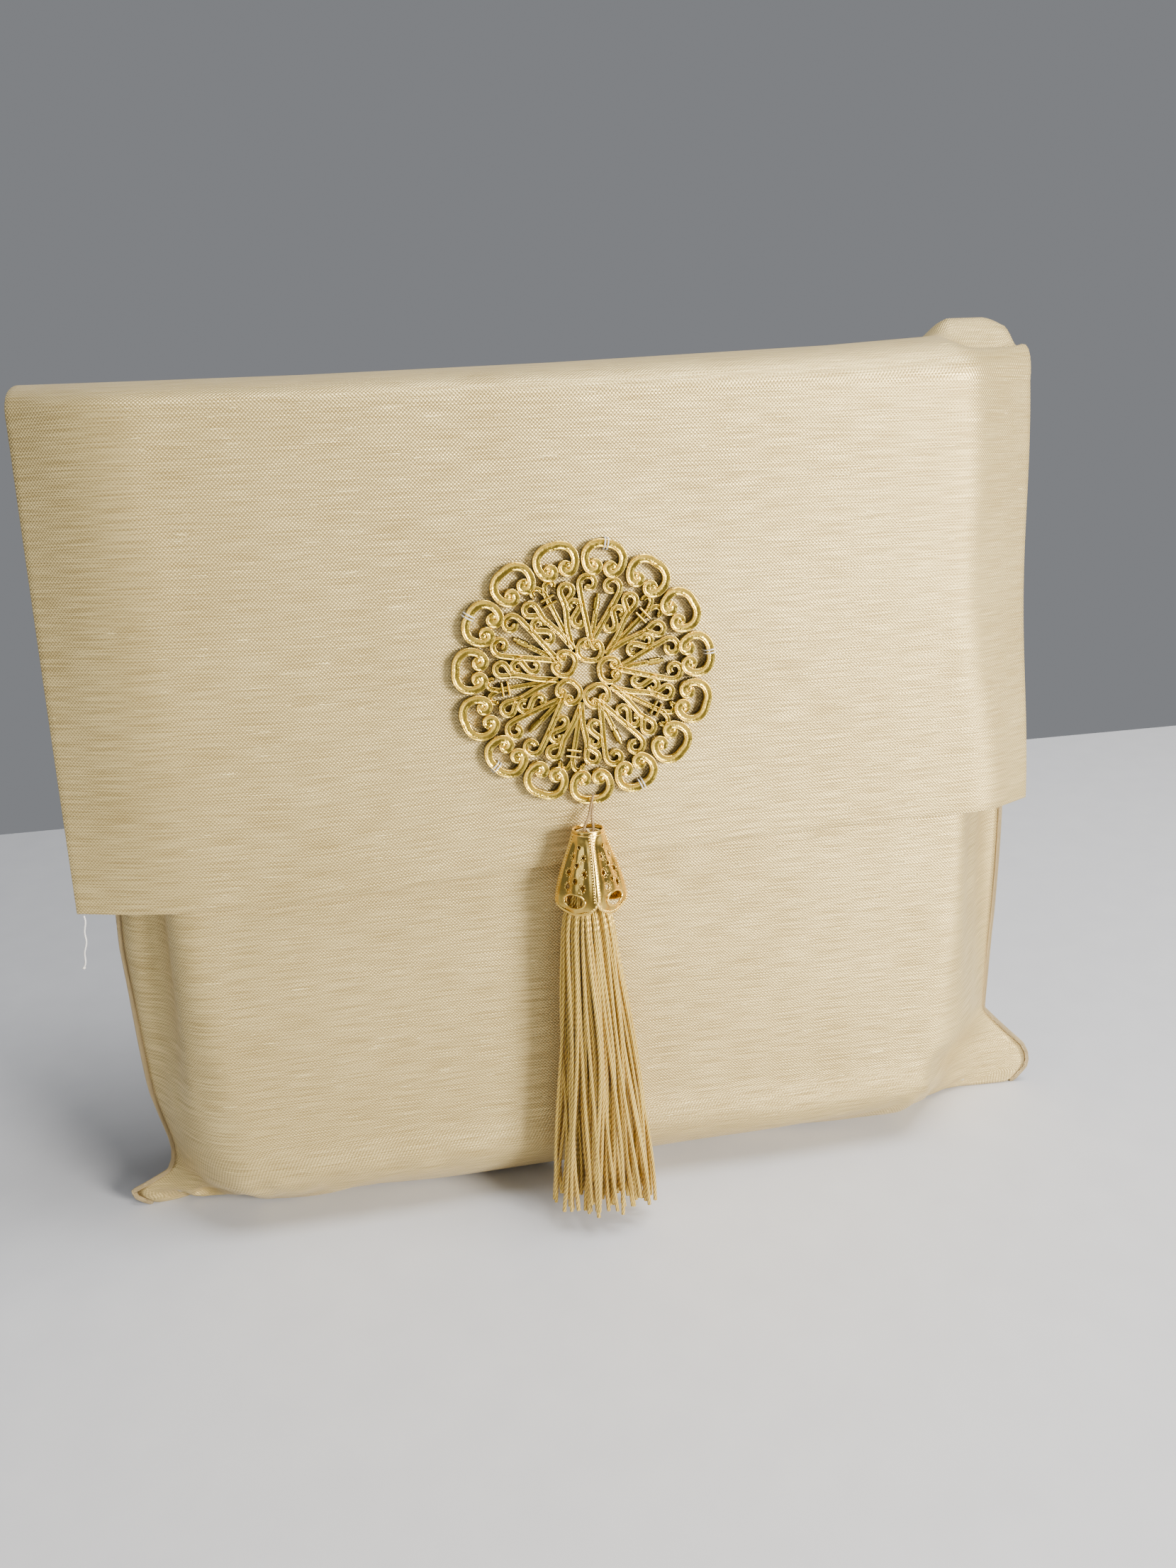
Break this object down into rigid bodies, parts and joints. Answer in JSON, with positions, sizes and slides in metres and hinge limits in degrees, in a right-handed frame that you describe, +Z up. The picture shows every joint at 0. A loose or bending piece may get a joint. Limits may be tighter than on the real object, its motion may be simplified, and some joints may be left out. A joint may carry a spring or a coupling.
{
  "type": "ring bearer pillow",
  "caption": "Stuffed silk envelope pouch pillow that stands upright, with a fold-over flap, a pierced gold medallion sewn on the flap and a yarn tassel hanging from it on a thread loop.",
  "frame": {"origin": "centre of the bounding box on the table that the pouch stands on", "axes": "+X to the right along the pouch's width, +Y to the back, +Z up; the flap and medallion face -Y"},
  "size_m": [0.2111, 0.0624, 0.184],
  "materials": {
    "champagne_silk": "satin",
    "lining": "satin",
    "cotton": "matte",
    "polyester_fibre": "matte",
    "interfacing": "matte",
    "sewing_thread": "satin",
    "brown_gold_thread": "satin",
    "antique_gold": "satin",
    "rayon_yarn": "satin"
  },
  "bodies": {
    "pouch": {"front_panel": "champagne_silk", "back_panel": "champagne_silk", "front_lining": "lining", "back_lining": "lining", "left_side_seam": "champagne_silk", "right_side_seam": "champagne_silk", "mouth_hem": "champagne_silk", "insert_cover": "cotton", "fibre_fill": "polyester_fibre", "flap_fold": "champagne_silk"},
    "flap": {"flap_panel": "champagne_silk", "flap_interfacing": "interfacing", "flap_lining": "champagne_silk", "thread_tail": "sewing_thread", "medallion": "antique_gold", "medallion_stitches": "sewing_thread"},
    "loop": {"hanging_loop": "brown_gold_thread"},
    "tassel": {"bead_cap": "antique_gold", "tassel_core": "rayon_yarn", "tassel_binding": "sewing_thread", "tassel_skirt": "rayon_yarn"}
  },
  "joints": [
    {"name": "flap_open", "type": "hinge", "parent": "pouch", "child": "flap", "pos_m": [0, 0.0078, 0.177], "axis": [-1, 0, 0], "range_deg": [0, 180], "deforming": ["flap_fold"]},
    {"name": "loop_lift", "type": "hinge", "parent": "flap", "child": "loop", "pos_m": [0.001, -0.00956, 0.09646], "axis": [-1, 0, 0], "range_deg": [0, 100]},
    {"name": "tassel_sway", "type": "hinge", "parent": "loop", "child": "tassel", "pos_m": [-0.001, -0.01454, 0.09052], "axis": [0, -0.994, 0.1094], "range_deg": [-15, 15]}
  ]
}
